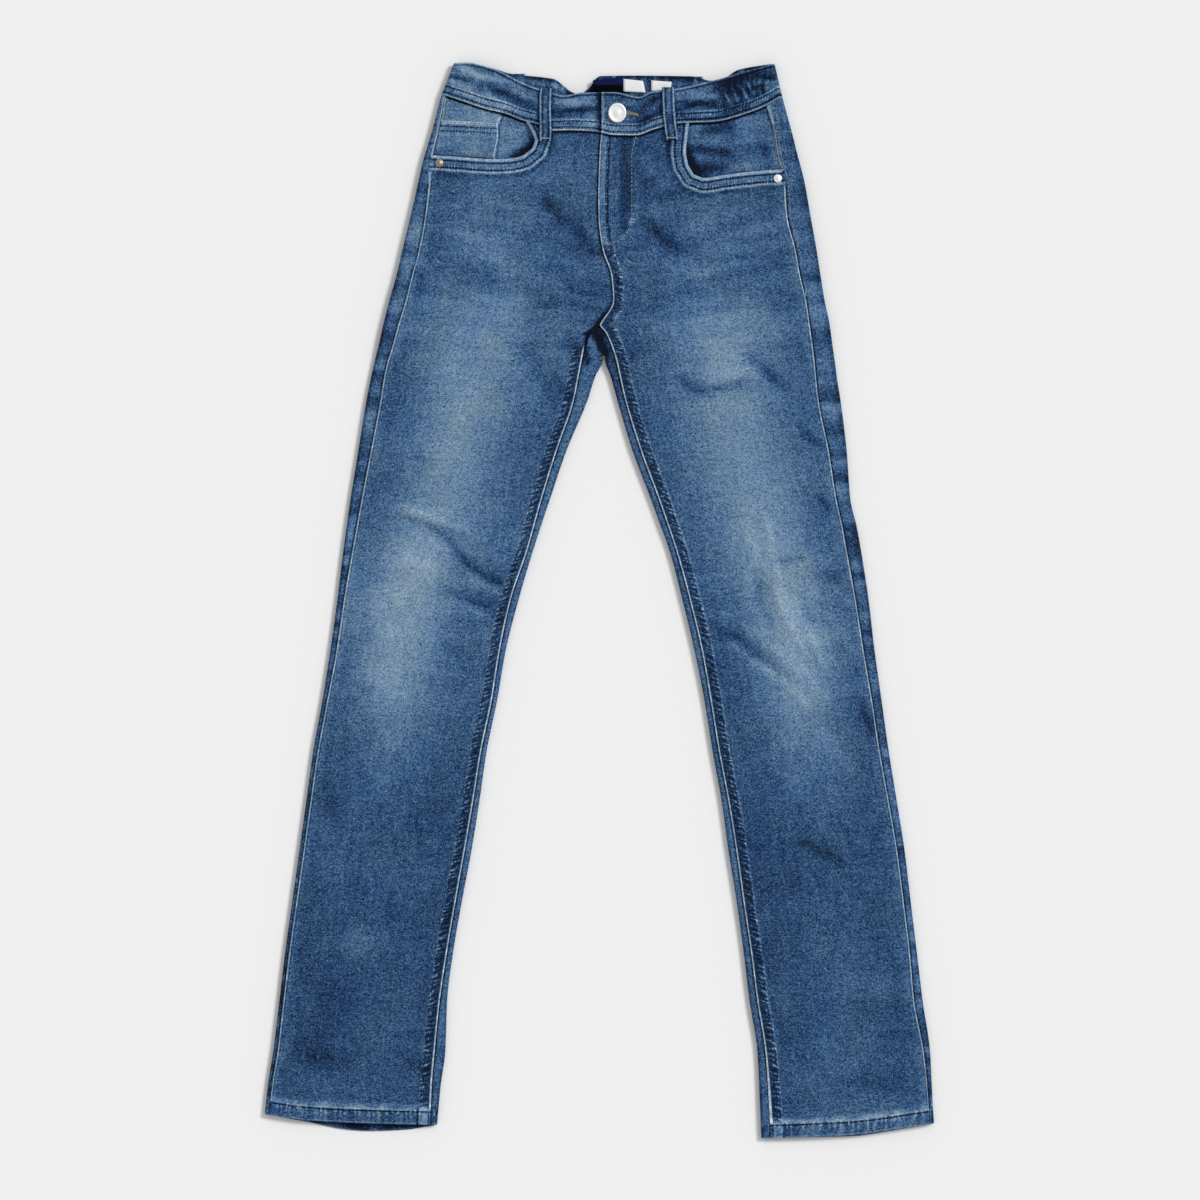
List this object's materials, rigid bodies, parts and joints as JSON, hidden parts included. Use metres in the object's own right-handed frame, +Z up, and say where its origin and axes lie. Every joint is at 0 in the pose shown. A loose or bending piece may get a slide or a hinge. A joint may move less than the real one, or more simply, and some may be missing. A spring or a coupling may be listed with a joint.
{
  "type": "skinny trousers",
  "caption": "Skinny denim jeans laid flat on their back, with buttoned waistband, belt loops, fly, curved front pockets and turned hems.",
  "frame": {"origin": "On the floor under the middle of the garment's bounding box.", "axes": "+Y towards the waist, +X to the viewer's right when seen from above, +Z up from the floor."},
  "size_m": [0.5821, 0.935, 0.0133],
  "materials": {
    "denim": "faded blue twill with light abraded seams",
    "button_metal": "satin silver",
    "rivet_metal": "dull copper",
    "label_dark": "woven, bare",
    "label_light": "woven, bare"
  },
  "bodies": {
    "root": {"front_left": "denim", "front_right": "denim", "back_left": "denim", "back_right": "denim", "yoke_left": "denim", "yoke_right": "denim", "waistband": "denim", "loop_front_left": "denim", "loop_front_right": "denim", "loop_back_left": "denim", "loop_back_centre": "denim", "loop_back_right": "denim", "fly_facing": "denim", "facing_left": "denim", "facing_right": "denim", "coin_pocket": "denim", "pocket_back_left": "denim", "pocket_back_right": "denim", "button": "button_metal", "rivet_left": "rivet_metal", "rivet_right": "rivet_metal", "label_waist": "label_dark", "tab_a": "label_light", "tab_b": "label_light"}
  },
  "joints": []
}
